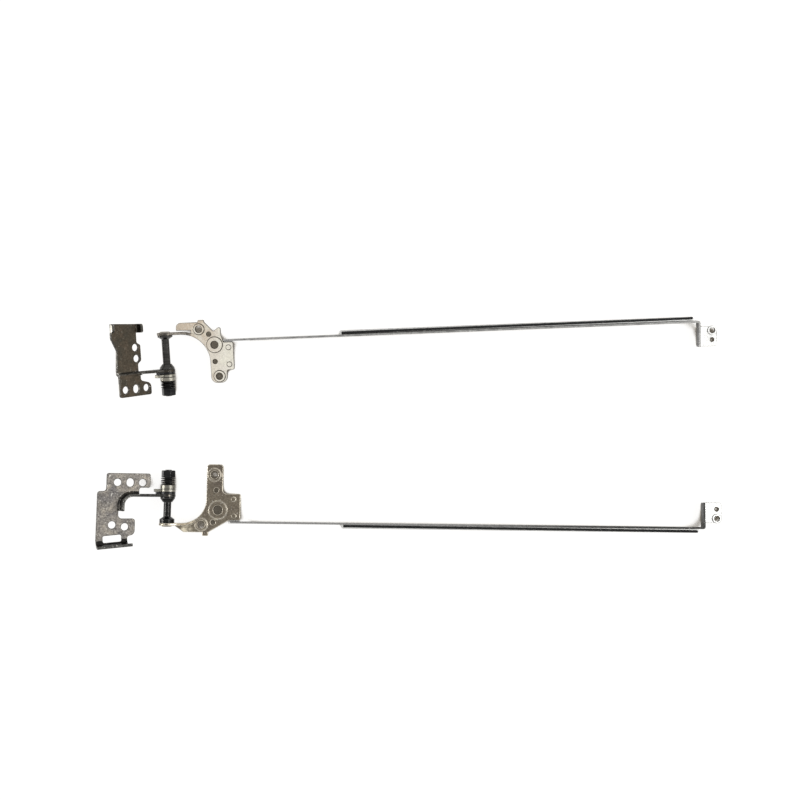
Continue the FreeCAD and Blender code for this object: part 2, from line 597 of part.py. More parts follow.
def left_display_bracket():
    """Plate with a tongue slit from the foot, a nub, a spur, the rail's seat and the screw lobe."""
    curve = LEFT_FOOT_CURVE
    seat = LEFT_RAIL_PLACE + RAIL_SHEET + RAIL_CLEARANCE
    arc_x = FOOT_CURVE_START + curve
    shoulder = LEFT_DISPLAY_SHOULDER
    spur_x, spur_v = LEFT_SPUR
    outline = [
        (LEFT_SLIT_END, -FOOT_SLIT, SLIT_CORNER), (LEFT_TONGUE_ROOT, -FOOT_SLIT, SLIT_CORNER),
        (LEFT_TONGUE_ROOT, LEFT_TONGUE_EDGE, LEFT_TONGUE_ROUND), (LEFT_NUB_START, LEFT_TONGUE_EDGE, 0),
        (LEFT_NUB_START, LEFT_NUB_TIP, NUB_CORNER), (LEFT_NUB_END, LEFT_NUB_TIP, NUB_CORNER),
        (LEFT_NUB_END, LEFT_TONGUE_EDGE, 0), (LEFT_VALLEY[0], LEFT_VALLEY[1], LEFT_VALLEY_ROUND),
        (spur_x, spur_v, LEFT_SPUR_ROUND), (spur_x, LEFT_SPUR_FOOT, SLIT_CORNER),
        (LEFT_RAIL_START, seat, SLIT_CORNER), (LEFT_DISPLAY_END, seat, NUB_CORNER),
        (LEFT_DISPLAY_END, shoulder, DISPLAY_CORNER), (LEFT_LOBE_EDGE, shoulder, DISPLAY_CORNER),
        (LEFT_LOBE_EDGE, LEFT_LOBE_TIP, LEFT_LOBE_ROUND), (arc_x, LEFT_LOBE_TIP, LEFT_LOBE_ROUND),
        (arc_x, DISPLAY_SHEET, curve), (FOOT_CURVE_START, DISPLAY_SHEET, 0),
        (LEFT_SLIT_END, DISPLAY_SHEET / 2, 0)]
    foot = foot_wall(curve, LEFT_FOOT_SWEEP)
    return display_bracket(outline, foot, LEFT_BOSSES, LEFT_PILOTS, LEFT_RIVETS)


def rail(place, start, end, display_end, shoulder, rivets):
    """Strip folded four times: foot under the display bracket, wall, bottom flange and end tab."""
    inner = place + RAIL_SHEET
    bend = RAIL_BEND + RAIL_SHEET
    fold = bend_section(RAIL_BEND, RAIL_SHEET, bend)
    foot_end = display_end - RAIL_CLEARANCE
    foot_depth = shoulder - RAIL_CLEARANCE
    corner = end - 2 * bend
    wall = upright([
        (start, FOOT_LEVEL + bend, 0), (foot_end, FOOT_LEVEL + bend, 0), (foot_end, FOOT_LEVEL, 0),
        (RAIL_STEP_START, FOOT_LEVEL, RAIL_CORNER), (RAIL_STEP_END, 0, RAIL_CORNER),
        (RAIL_FLANGE_START, 0, 0), (RAIL_FLANGE_START, bend, 0), (corner, bend, 0),
        (corner, RAIL_HEIGHT, 0), (start, RAIL_HEIGHT, DISPLAY_CORNER)], place, RAIL_SHEET)
    foot_section = [(place + bend - out, FOOT_LEVEL + z, radius) for out, z, radius in fold]
    foot_fold = section_along(foot_section, start, foot_end)
    foot = plate([
        (start, place + bend, 0), (foot_end, place + bend, 0), (foot_end, foot_depth, DISPLAY_CORNER),
        (start, foot_depth, DISPLAY_CORNER)], FOOT_LEVEL, RAIL_SHEET)
    flange_section = [(inner - bend + out, z, radius) for out, z, radius in fold]
    flange_fold = section_along(flange_section, RAIL_FLANGE_START, corner)
    rim = inner - RAIL_FLANGE_WIDTH
    flange = plate([
        (RAIL_FLANGE_START, inner - bend, 0), (RAIL_FLANGE_START, rim, DISPLAY_CORNER),
        (corner, rim, DISPLAY_CORNER), (corner, inner - bend, 0)], 0, RAIL_SHEET)

    face_low = place + TAB_LENGTH - TAB_FACE_LENGTH
    face_high = place + TAB_LENGTH
    face_start = end - RAIL_SHEET + bend
    reach = end + TAB_REACH
    turn = plate([
        (corner, place, 0), (end, place, bend), (end, face_low, 0), (end - RAIL_SHEET, face_low, 0),
        (end - RAIL_SHEET, inner, RAIL_BEND), (corner, inner, 0)], 0, RAIL_HEIGHT)
    tab_section = bend_section(RAIL_BEND, RAIL_SHEET, RAIL_HEIGHT)
    tab_wall = upright([(face_start - out, z, r) for out, z, r in tab_section], face_low, TAB_FACE_LENGTH)
    tab_face = plate([(face_start, face_low, 0), (reach, face_low, TAB_ROUND), (reach, face_high, TAB_CORNER),
                      (face_start, face_high, 0)], 0, RAIL_SHEET)
    boss = (end + TAB_HOLE_REACH, place + TAB_BOSS_PLACE)
    pilot = (end + TAB_HOLE_REACH, place + TAB_PILOT_PLACE)
    pad = Part.makeCylinder(TAB_BOSS_RADIUS, RAIL_SHEET + BOSS_HEIGHT, Vector(boss[0], boss[1], 0))
    folded = [foot_fold, foot, flange_fold, flange, turn, tab_wall, tab_face, pad]
    body = wall.multiFuse(folded).removeSplitter()
    cutters = [upright_hole(boss[0], boss[1], TAB_BOSS_HOLE), upright_hole(pilot[0], pilot[1], PILOT_HOLE)]
    cutters += [upright_hole(x, v, RIVET_RADIUS + RIVET_FIT) for x, v in rivets]
    return body.cut(cutters)


def rail_strip(place, end):
    """Black foam strip stuck along the rail's flange, a little aslant."""
    start = RAIL_FLANGE_START + STRIP_START_GAP
    stop = end - STRIP_END_GAP
    near = place - STRIP_NEAR_GAP
    far = place - STRIP_FAR_GAP
    return plate([(start, near, 0), (start, near - STRIP_WIDTH, 0), (stop, far - STRIP_WIDTH, 0),
                  (stop, far, 0)], RAIL_SHEET, STRIP_HEIGHT)


def rivets(places, rise):
    """Rivets with low tapered heads, through the display bracket and the rail's foot."""
    made = []
    low = FOOT_LEVEL - RIVET_TAIL_HEAD
    for x, v in places:
        shank = Part.makeCylinder(RIVET_RADIUS, DISPLAY_TOP - low, Vector(x, v, low))
        head = Part.makeCone(RIVET_HEAD_RADIUS, RIVET_HEAD_RADIUS - RIVET_RIM, rise,
                             Vector(x, v, DISPLAY_TOP))
        tail = Part.makeCylinder(RIVET_HEAD_RADIUS, RIVET_TAIL_HEAD, Vector(x, v, low))
        made.append(shank.multiFuse([head, tail]).removeSplitter())
    return Part.makeCompound(made)


def resting_on(first, second, third, yaw):
    """The placement that sets three points of a hinge on the table."""
    up = (second - first).cross(third - first).normalize()
    if up.z < 0:
        up = -up
    along = (Vector(1, 0, 0) - up * up.x).normalize()
    across = up.cross(along)
    level = FreeCAD.Matrix(along.x, along.y, along.z, 0, across.x, across.y, across.z, 0,
                           up.x, up.y, up.z, -up.dot(second), 0, 0, 0, 1)
    turned = FreeCAD.Placement(Vector(0, 0, 0), FreeCAD.Rotation(Vector(0, 0, 1), yaw))
    return turned.multiply(FreeCAD.Placement(level))


def contact_points(side, lobe_x, lobe_tip, rail_place, rail_end):
    """The tip of the display lobe, the rail's near edge and the inner end of the far tab."""
    inner = rail_place + RAIL_SHEET
    tip = Vector(lobe_x, side * lobe_tip, DISPLAY_UNDERSIDE)
    near = Vector(RAIL_STEP_END, side * inner, 0)
    far = Vector(rail_end + RAIL_BEND, side * (rail_place + TAB_LENGTH), 0)
    return tip, near, far


BASE_NODES = {
    "right": {"base_bracket": right_base_bracket(), "friction_plate": friction_plate(RIGHT_ARM_PLACE),
              "tab_washer": tab_washer(RIGHT_ARM_PLACE)},
    "left": {"base_bracket": left_base_bracket(), "friction_plate": friction_plate(LEFT_ARM_PLACE),
             "tab_washer": tab_washer(LEFT_ARM_PLACE)}}
DISPLAY_NODES = {
    "right": {"shaft": shaft(RIGHT_ARM_PLACE, RIGHT_HEAD_LENGTH),
              "keyed_washer": keyed_washer(RIGHT_ARM_PLACE),
              "disc_springs": disc_springs(RIGHT_ARM_PLACE),
              "lock_nut": lock_nut(RIGHT_ARM_PLACE),
              "display_bracket": right_display_bracket(),
              "rail": rail(RIGHT_RAIL_PLACE, RIGHT_RAIL_START, RIGHT_RAIL_END, RIGHT_DISPLAY_END,
                           RIGHT_DISPLAY_SHOULDER, RIGHT_RIVETS),
              "rail_strip": rail_strip(RIGHT_RAIL_PLACE, RIGHT_RAIL_END),
              "rivets": rivets(RIGHT_RIVETS, RIGHT_RIVET_HEAD)},
    "left": {"shaft": shaft(LEFT_ARM_PLACE, LEFT_HEAD_LENGTH),
             "keyed_washer": keyed_washer(LEFT_ARM_PLACE),
             "disc_springs": disc_springs(LEFT_ARM_PLACE),
             "lock_nut": lock_nut(LEFT_ARM_PLACE),
             "display_bracket": left_display_bracket(),
             "rail": rail(LEFT_RAIL_PLACE, LEFT_RAIL_START, LEFT_RAIL_END, LEFT_DISPLAY_END,
                          LEFT_DISPLAY_SHOULDER, LEFT_RIVETS),
             "rail_strip": rail_strip(LEFT_RAIL_PLACE, LEFT_RAIL_END),
             "rivets": rivets(LEFT_RIVETS, LEFT_RIVET_HEAD)}}
RAISED = {"right": RIGHT_BASE_RAISED, "left": LEFT_BASE_RAISED}
RIGHT_CONTACTS = contact_points(1, RIGHT_BOSSES[0][0], RIGHT_LOBE_TIP, RIGHT_RAIL_PLACE, RIGHT_RAIL_END)
LEFT_CONTACTS = contact_points(-1, LEFT_BOSSES[0][0], LEFT_LOBE_TIP, LEFT_RAIL_PLACE, LEFT_RAIL_END)
PLACES = {"right": resting_on(*RIGHT_CONTACTS, 0), "left": resting_on(*LEFT_CONTACTS, LEFT_YAW)}
PLACES["left"].Base += Vector(LEFT_SHIFT, PAIR_SPACING, 0)

pieces = {}
for side in ("right", "left"):
    for name, shape in BASE_NODES[side].items():
        shape.rotate(Vector(0, 0, AXIS_HEIGHT), Vector(0, 1, 0), RAISED[side])
    for name, shape in list(BASE_NODES[side].items()) + list(DISPLAY_NODES[side].items()):
        flat = shape.mirror(Vector(0, 0, 0), Vector(0, 1, 0)) if side == "left" else shape
        flat.Placement = PLACES[side].multiply(flat.Placement)
        pieces[side + "_" + name] = flat

whole = FreeCAD.BoundBox()
for shape in pieces.values():
    whole.add(shape.optimalBoundingBox(False, False))
ORIGIN = Vector(whole.Center.x, whole.Center.y, whole.ZMin)

os.makedirs("parts", exist_ok=True)
for name, shape in pieces.items():
    shape.translate(-ORIGIN)
    shape.exportStep("parts/" + name + ".step")
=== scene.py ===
import bmesh
import bpy
import itertools
import json
import math
from mathutils import Matrix, Vector
from mathutils.bvhtree import BVHTree

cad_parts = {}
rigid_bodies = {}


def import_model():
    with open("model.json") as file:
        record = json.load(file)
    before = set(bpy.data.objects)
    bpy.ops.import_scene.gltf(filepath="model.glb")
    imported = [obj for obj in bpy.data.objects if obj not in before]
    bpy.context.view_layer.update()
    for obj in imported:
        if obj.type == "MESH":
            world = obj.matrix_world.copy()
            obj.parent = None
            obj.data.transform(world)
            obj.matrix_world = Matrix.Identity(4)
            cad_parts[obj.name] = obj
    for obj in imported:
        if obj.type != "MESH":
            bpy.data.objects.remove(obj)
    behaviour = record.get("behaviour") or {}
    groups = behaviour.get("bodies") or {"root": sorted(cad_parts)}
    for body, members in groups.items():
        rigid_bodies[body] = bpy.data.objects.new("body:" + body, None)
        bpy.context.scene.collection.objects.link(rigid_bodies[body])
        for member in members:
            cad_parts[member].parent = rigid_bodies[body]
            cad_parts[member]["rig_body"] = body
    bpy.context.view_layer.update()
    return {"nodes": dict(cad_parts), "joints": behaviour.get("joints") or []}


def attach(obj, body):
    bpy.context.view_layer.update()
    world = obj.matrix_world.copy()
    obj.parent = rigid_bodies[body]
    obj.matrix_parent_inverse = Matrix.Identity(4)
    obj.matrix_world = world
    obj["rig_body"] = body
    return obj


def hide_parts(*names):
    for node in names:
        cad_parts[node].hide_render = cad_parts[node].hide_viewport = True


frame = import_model()
nodes = frame["nodes"]
MM = 0.001

# Base brackets
# Each is one stamping of 1.2 mm steel with screw holes and an arm on edge that ends in the eye for the shaft.
# The right one has a flange at its outer edge, the left one two folded tabs and a step. They are zinc plated,
# the left one darker.
MERGE_DISTANCE = 0.002 * MM
FLAT_ANGLE = math.radians(0.5)
SHARP_ANGLE = math.radians(28)
SLIVER_ANGLE = math.radians(40)
BRACKET_EDGE = 0.18 * MM
PLATE, FOLD, SHEARED, HOLE = range(4)
FLAT_ENOUGH = 0.997


def merged_copy(node):
    """A piece's mesh with its loose triangles joined."""
    shell = bmesh.new()
    shell.from_mesh(nodes[node].data)
    bmesh.ops.remove_doubles(shell, verts=shell.verts, dist=MERGE_DISTANCE)
    return shell


def mark_sharp_edges(shell):
    """Marks the edges to ease, leaving out the shorter of two that meet at a sliver's tip."""
    weight = shell.edges.layers.float.new("bevel_weight_edge")
    for edge in shell.edges:
        edge[weight] = float(edge.is_manifold and edge.calc_face_angle() > SHARP_ANGLE)
    for corner in shell.verts:
        sharp = [edge for edge in corner.link_edges if edge[weight]]
        for first, second in itertools.combinations(sharp, 2):
            ways = [(edge.other_vert(corner).co - corner.co).normalized() for edge in (first, second)]
            if ways[0].dot(ways[1]) > math.cos(SLIVER_ANGLE):
                shorter = min((first, second), key=lambda edge: edge.calc_length())
                shorter[weight] = 0.0


def eased_piece(node, shell, edge, finishes, edge_finish):
    """The piece itself: flat areas joined, sharp edges eased, and set in place of the node."""
    bmesh.ops.dissolve_limit(shell, angle_limit=FLAT_ANGLE, verts=shell.verts, edges=shell.edges,
                             delimit={"MATERIAL"})
    mark_sharp_edges(shell)
    mesh = bpy.data.meshes.new(node + "_form")
    shell.to_mesh(mesh)
    shell.free()
    mesh.shade_smooth()
    mesh.set_sharp_from_angle(angle=SHARP_ANGLE)
    for finish in finishes:
        mesh.materials.append(finish)
    piece = bpy.data.objects.new(node + "_form", mesh)
    bpy.context.scene.collection.objects.link(piece)
    easing = piece.modifiers.new("eased_edges", "BEVEL")
    easing.width = edge
    easing.segments = 2
    easing.limit_method = "WEIGHT"
    easing.use_clamp_overlap = False
    easing.loop_slide = False
    easing.harden_normals = True
    easing.material = edge_finish
    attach(piece, nodes[node]["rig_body"])
    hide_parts(node)
    return piece


def eased_copy(node, edge, finish, edge_finish):
    """A turned or cut piece in one finish, with another on its edges."""
    return eased_piece(node, merged_copy(node), edge, (finish, edge_finish), 1)


def main_direction(shell):
    """The direction that most of a stamping's area faces."""
    areas = {}
    for face in shell.faces:
        way = face.normal if face.normal.z >= 0 else -face.normal
        key = (round(way.x, 1), round(way.y, 1), round(way.z, 1))
        areas[key] = areas.get(key, 0.0) + face.calc_area()
    return Vector(max(areas, key=areas.get)).normalized()


def stamped_copy(node, edge, thickest, hole, finishes, edge_finish, across=None, flat=FLAT_ENOUGH):
    """A stamping with its own finish on the plate, on the folds, on sheared edges and inside holes."""
    shell = merged_copy(node)
    across = across or main_direction(shell)
    inside = BVHTree.FromBMesh(shell)
    for face in shell.faces:
        middle = face.calc_center_median()
        skin = face.normal * MERGE_DISTANCE
        metal_behind = inside.ray_cast(middle - skin, -face.normal)[3]
        gap_ahead = inside.ray_cast(middle + skin, face.normal)[3]
        if metal_behind is not None and metal_behind < thickest:
            face.material_index = PLATE if abs(face.normal.dot(across)) > flat else FOLD
        elif gap_ahead is not None and gap_ahead < hole:
            face.material_index = HOLE
        else:
            face.material_index = SHEARED
    return eased_piece(node, shell, edge, finishes, edge_finish)


def plating_group():
    """Mottled zinc plating: two tints in patches, a fine grain and small bright flecks."""
    group = bpy.data.node_groups.new("zinc_plating", "ShaderNodeTree")
    face = group.interface
    face.new_socket("Vector", in_out="INPUT", socket_type="NodeSocketVector")
    for name in ("Tone", "Cool Tint", "Warm Tint", "Fleck"):
        face.new_socket(name, in_out="INPUT", socket_type="NodeSocketColor")
    for name in ("Patch Scale", "Grain Scale", "Grain Depth", "Grain Contrast", "Roughness"):
        face.new_socket(name, in_out="INPUT", socket_type="NodeSocketFloat")
    face.new_socket("Color", in_out="OUTPUT", socket_type="NodeSocketColor")
    face.new_socket("Roughness", in_out="OUTPUT", socket_type="NodeSocketFloat")
    face.new_socket("Height", in_out="OUTPUT", socket_type="NodeSocketFloat")
    tree = group.nodes
    links = group.links
    given = tree.new("NodeGroupInput")
    result = tree.new("NodeGroupOutput")

    def noise(scale_socket, times, detail, offset):
        shift = tree.new("ShaderNodeVectorMath")
        shift.operation = "ADD"
        shift.inputs[1].default_value = (offset, offset / 2, -offset)
        links.new(given.outputs["Vector"], shift.inputs[0])
        scale = tree.new("ShaderNodeMath")
        scale.operation = "MULTIPLY"
        scale.inputs[1].default_value = times
        links.new(scale_socket, scale.inputs[0])
        made = tree.new("ShaderNodeTexNoise")
        made.inputs["Detail"].default_value = detail
        links.new(shift.outputs[0], made.inputs["Vector"])
        links.new(scale.outputs[0], made.inputs["Scale"])
        return made.outputs["Fac"]

    def between(value, low, high):
        made = tree.new("ShaderNodeMapRange")
        made.interpolation_type = "SMOOTHSTEP"
        made.inputs["From Min"].default_value = low
        made.inputs["From Max"].default_value = high
        links.new(value, made.inputs["Value"])
        return made.outputs["Result"]

    def mixed(factor, first, second, blend="MIX"):
        made = tree.new("ShaderNodeMix")
        made.data_type = "RGBA"
        made.blend_type = blend
        links.new(factor, made.inputs["Factor"])
        links.new(first, made.inputs["A"])
        links.new(second, made.inputs["B"])
        return made.outputs["Result"]

    patches = given.outputs["Patch Scale"]
    grain = given.outputs["Grain Scale"]
    cool = between(noise(patches, 1.0, 3.0, 0.0), 0.42, 0.66)
    warm = between(noise(patches, 1.7, 2.0, 0.31), 0.46, 0.70)
    speckle = noise(grain, 1.0, 4.0, 0.17)
    flecks = between(noise(grain, 0.8, 2.0, 0.53), 0.63, 0.72)
    colour = mixed(cool, given.outputs["Tone"], given.outputs["Cool Tint"])
    colour = mixed(warm, colour, given.outputs["Warm Tint"])
    colour = mixed(flecks, colour, given.outputs["Fleck"])
    shade = tree.new("ShaderNodeMapRange")
    shade.inputs["From Min"].default_value = 0.3
    shade.inputs["From Max"].default_value = 0.7
    for socket, operation in (("To Min", "SUBTRACT"), ("To Max", "ADD")):
        limit = tree.new("ShaderNodeMath")
        limit.operation = operation
        limit.inputs[0].default_value = 1.0
        links.new(given.outputs["Grain Contrast"], limit.inputs[1])
        links.new(limit.outputs[0], shade.inputs[socket])
    links.new(speckle, shade.inputs["Value"])
    shaded = tree.new("ShaderNodeVectorMath")
    shaded.operation = "SCALE"
    links.new(colour, shaded.inputs[0])
    links.new(shade.outputs["Result"], shaded.inputs["Scale"])
    links.new(shaded.outputs[0], result.inputs["Color"])
    rough = tree.new("ShaderNodeMath")
    rough.operation = "MULTIPLY_ADD"
    rough.inputs[1].default_value = 0.22
    links.new(speckle, rough.inputs[0])
    links.new(given.outputs["Roughness"], rough.inputs[2])
    links.new(rough.outputs[0], result.inputs["Roughness"])
    height = tree.new("ShaderNodeMath")
    height.operation = "MULTIPLY"
    links.new(speckle, height.inputs[0])
    links.new(given.outputs["Grain Depth"], height.inputs[1])
    links.new(height.outputs[0], result.inputs["Height"])
    return group


ZINC_PLATING = plating_group()
RAGGED_SCALE = 180.0
GRAIN_BUMP = 0.25
GRAIN_HEIGHT = 0.03 * MM


def sweep_across(tree, links, place, first, second, start, end):
    """A tone that goes over from one colour to another along x, with an uneven edge."""
    ragged = tree.new("ShaderNodeTexNoise")
    ragged.inputs["Scale"].default_value = RAGGED_SCALE
    links.new(place.outputs["Object"], ragged.inputs["Vector"])
    axes = tree.new("ShaderNodeSeparateXYZ")
    links.new(place.outputs["Object"], axes.inputs[0])
    spread = tree.new("ShaderNodeMath")
    spread.operation = "MULTIPLY_ADD"
    spread.inputs[1].default_value = 0.5 * (end - start)
    links.new(ragged.outputs["Fac"], spread.inputs[0])
    links.new(axes.outputs["X"], spread.inputs[2])
    sweep = tree.new("ShaderNodeMapRange")
    sweep.interpolation_type = "SMOOTHSTEP"
    sweep.inputs["From Min"].default_value = start + 0.25 * (end - start)
    sweep.inputs["From Max"].default_value = end + 0.25 * (end - start)
    links.new(spread.outputs[0], sweep.inputs["Value"])
    tone = tree.new("ShaderNodeMix")
    tone.data_type = "RGBA"
    links.new(sweep.outputs["Result"], tone.inputs["Factor"])
    tone.inputs["A"].default_value = first + (1.0,)
    tone.inputs["B"].default_value = second + (1.0,)
    return tone.outputs["Result"]


def plated_steel(name, tone, cool, warm, fleck, patch_scale, grain_scale, roughness, sweep=None,
                 contrast=0.3, swept=("Tone",)):
    """Zinc-plated sheet: metal with the plating's patches and grain, and a tone that may change along it."""
    made = bpy.data.materials.new(name)
    made.use_nodes = True
    tree = made.node_tree.nodes
    links = made.node_tree.links
    metal = tree["Principled BSDF"]
    metal.inputs["Metallic"].default_value = 1.0
    plating = tree.new("ShaderNodeGroup")
    plating.node_tree = ZINC_PLATING
    place = tree.new("ShaderNodeTexCoord")
    links.new(place.outputs["Object"], plating.inputs["Vector"])
    for socket, colour in (("Tone", tone), ("Cool Tint", cool), ("Warm Tint", warm), ("Fleck", fleck)):
        plating.inputs[socket].default_value = colour + (1.0,)
    plating.inputs["Patch Scale"].default_value = patch_scale
    plating.inputs["Grain Scale"].default_value = grain_scale
    plating.inputs["Grain Depth"].default_value = 1.0
    plating.inputs["Grain Contrast"].default_value = contrast
    plating.inputs["Roughness"].default_value = roughness
    if sweep:
        colour = sweep_across(tree, links, place, sweep[0], tone, sweep[1], sweep[2])
        for socket in swept:
            links.new(colour, plating.inputs[socket])
    links.new(plating.outputs["Color"], metal.inputs["Base Color"])
    links.new(plating.outputs["Roughness"], metal.inputs["Roughness"])
    bump = tree.new("ShaderNodeBump")
    bump.inputs["Strength"].default_value = GRAIN_BUMP
    bump.inputs["Distance"].default_value = GRAIN_HEIGHT
    links.new(plating.outputs["Height"], bump.inputs["Height"])
    links.new(bump.outputs["Normal"], metal.inputs["Normal"])
    return made


PATCH_SCALE = 230.0
MOTTLE_SCALE = 190.0
FINE_PATCHES = 420.0
GRAIN_SCALE = 1500.0
FINE_GRAIN = 2200.0
left_base_plating = plated_steel("left_base_plating", (0.064, 0.053, 0.039), (0.052, 0.047, 0.037),
                                 (0.080, 0.063, 0.046), (0.14, 0.128, 0.105), PATCH_SCALE, GRAIN_SCALE, 0.32)
# The left base bracket's fold finish is painted shade: its walls and bends are darkened to stand for the shade
# in them. Towards lower x, between TAB_START and TAB_END, it goes over to a pale tone, a painted highlight on
# the left tab that faces the light.
TAB_START = -119.6 * MM
TAB_END = -118.0 * MM
left_base_fold_shade_and_highlight = plated_steel("left_base_fold_shade_and_highlight", (0.034, 0.031, 0.026), (0.024, 0.023, 0.021),
                              (0.050, 0.045, 0.036), (0.30, 0.29, 0.26), PATCH_SCALE, GRAIN_SCALE, 0.26,
                              ((0.42, 0.40, 0.35), TAB_START, TAB_END))
# The left base bracket's sheared edges carry large bright flecks: painted glints standing for highlights along
# its edges, on top of the edges' own grain.
left_base_shear_and_glints = plated_steel("left_base_shear_and_glints", (0.060, 0.056, 0.050), (0.030, 0.028, 0.025),
                               (0.12, 0.113, 0.10), (0.62, 0.60, 0.55), FINE_PATCHES, FINE_GRAIN, 0.24)
right_base_plating = plated_steel("right_base_plating", (0.200, 0.184, 0.165), (0.140, 0.131, 0.125),
                                  (0.265, 0.240, 0.205), (0.48, 0.46, 0.42), MOTTLE_SCALE, GRAIN_SCALE, 0.30,
                                  contrast=0.55)
# The right base bracket's fold finish is painted shade: its walls and bends are darkened to stand for the
# shade in them.
right_base_fold_painted_shade = plated_steel("right_base_fold_painted_shade", (0.030, 0.029, 0.027), (0.020, 0.020, 0.020),
                               (0.055, 0.050, 0.042), (0.35, 0.34, 0.31), PATCH_SCALE, GRAIN_SCALE, 0.24)
right_base_shear = plated_steel("right_base_shear", (0.065, 0.064, 0.060), (0.025, 0.0245, 0.023),
                                (0.13, 0.127, 0.115), (0.45, 0.44, 0.41), FINE_PATCHES, FINE_GRAIN, 0.24)
hole_wall = plated_steel("hole_wall", (0.10, 0.092, 0.08), (0.06, 0.055, 0.05),
                         (0.15, 0.135, 0.11), (0.40, 0.38, 0.34), FINE_PATCHES, FINE_GRAIN, 0.3)
BASE_THICKEST = 1.7 * MM
HOLE_ACROSS = 4.2 * MM
base_finishes = {"left": (left_base_plating, left_base_fold_shade_and_highlight, left_base_shear_and_glints, hole_wall),
                 "right": (right_base_plating, right_base_fold_painted_shade, right_base_shear, hole_wall)}
for side, finishes in base_finishes.items():
    bracket = stamped_copy(side + "_base_bracket", BRACKET_EDGE, BASE_THICKEST, HOLE_ACROSS, finishes,
                           SHEARED)

# Friction plates
# A hardened washer, blackened and oiled, lies against the eye of the arm. Its short square tab stops it
# turning with the shaft.
SMALL_EDGE = 0.07 * MM


def lathe_group():
    """Fine lines left by turning or rolling: bands that change only along one direction."""
    group = bpy.data.node_groups.new("tool_lines", "ShaderNodeTree")
    face = group.interface
    face.new_socket("Vector", in_out="INPUT", socket_type="NodeSocketVector")
    face.new_socket("Tone", in_out="INPUT", socket_type="NodeSocketColor")
    face.new_socket("Line Tone", in_out="INPUT", socket_type="NodeSocketColor")
    face.new_socket("Scale", in_out="INPUT", socket_type="NodeSocketFloat")
    face.new_socket("Roughness", in_out="INPUT", socket_type="NodeSocketFloat")
    face.new_socket("Color", in_out="OUTPUT", socket_type="NodeSocketColor")
    face.new_socket("Roughness", in_out="OUTPUT", socket_type="NodeSocketFloat")
    face.new_socket("Height", in_out="OUTPUT", socket_type="NodeSocketFloat")
    tree = group.nodes
    links = group.links
    given = tree.new("NodeGroupInput")
    result = tree.new("NodeGroupOutput")
    lines = tree.new("ShaderNodeTexNoise")
    lines.inputs["Detail"].default_value = 5.0
    links.new(given.outputs["Vector"], lines.inputs["Vector"])
    links.new(given.outputs["Scale"], lines.inputs["Scale"])
    contrast = tree.new("ShaderNodeMapRange")
    contrast.inputs["From Min"].default_value = 0.35
    contrast.inputs["From Max"].default_value = 0.70
    links.new(lines.outputs["Fac"], contrast.inputs["Value"])
    colour = tree.new("ShaderNodeMix")
    colour.data_type = "RGBA"
    links.new(contrast.outputs["Result"], colour.inputs["Factor"])
    links.new(given.outputs["Tone"], colour.inputs["A"])
    links.new(given.outputs["Line Tone"], colour.inputs["B"])
    links.new(colour.outputs["Result"], result.inputs["Color"])
    rough = tree.new("ShaderNodeMath")
    rough.operation = "MULTIPLY_ADD"
    rough.inputs[1].default_value = 0.16
    links.new(lines.outputs["Fac"], rough.inputs[0])
    links.new(given.outputs["Roughness"], rough.inputs[2])
    links.new(rough.outputs[0], result.inputs["Roughness"])
    links.new(lines.outputs["Fac"], result.inputs["Height"])
    return group


TOOL_LINES = lathe_group()


def lined_metal(name, tone, line_tone, scale, roughness, stretch, turn=(0.0, 0.0, 0.0), depth=0.01 * MM):
    """Metal with tool lines; stretch sets how fast the pattern changes along the turned axes."""
    made = bpy.data.materials.new(name)
    made.use_nodes = True
    tree = made.node_tree.nodes
    links = made.node_tree.links
    metal = tree["Principled BSDF"]
    metal.inputs["Metallic"].default_value = 1.0
    place = tree.new("ShaderNodeTexCoord")
    mapping = tree.new("ShaderNodeMapping")
    mapping.vector_type = "TEXTURE"
    mapping.inputs["Rotation"].default_value = turn
    mapping.inputs["Scale"].default_value = stretch
    links.new(place.outputs["Object"], mapping.inputs["Vector"])
    lines = tree.new("ShaderNodeGroup")
    lines.node_tree = TOOL_LINES
    links.new(mapping.outputs["Vector"], lines.inputs["Vector"])
    lines.inputs["Tone"].default_value = tone + (1.0,)
    lines.inputs["Line Tone"].default_value = line_tone + (1.0,)
    lines.inputs["Scale"].default_value = scale
    lines.inputs["Roughness"].default_value = roughness
    links.new(lines.outputs["Color"], metal.inputs["Base Color"])
    links.new(lines.outputs["Roughness"], metal.inputs["Roughness"])
    bump = tree.new("ShaderNodeBump")
    bump.inputs["Strength"].default_value = 0.2
    bump.inputs["Distance"].default_value = depth
    links.new(lines.outputs["Height"], bump.inputs["Height"])
    links.new(bump.outputs["Normal"], metal.inputs["Normal"])
    return made


ACROSS_SHAFT = (8.0, 1.0, 8.0)
OXIDE = (0.016, 0.016, 0.017)
WORN_OXIDE = (0.040, 0.040, 0.039)
BARE_OXIDE = (0.11, 0.108, 0.104)
LATHE_SCALE = 1400.0
GROUND_SCALE = 900.0
WASHER_EDGE = ((0.035, 0.033, 0.027), (0.08, 0.076, 0.065))
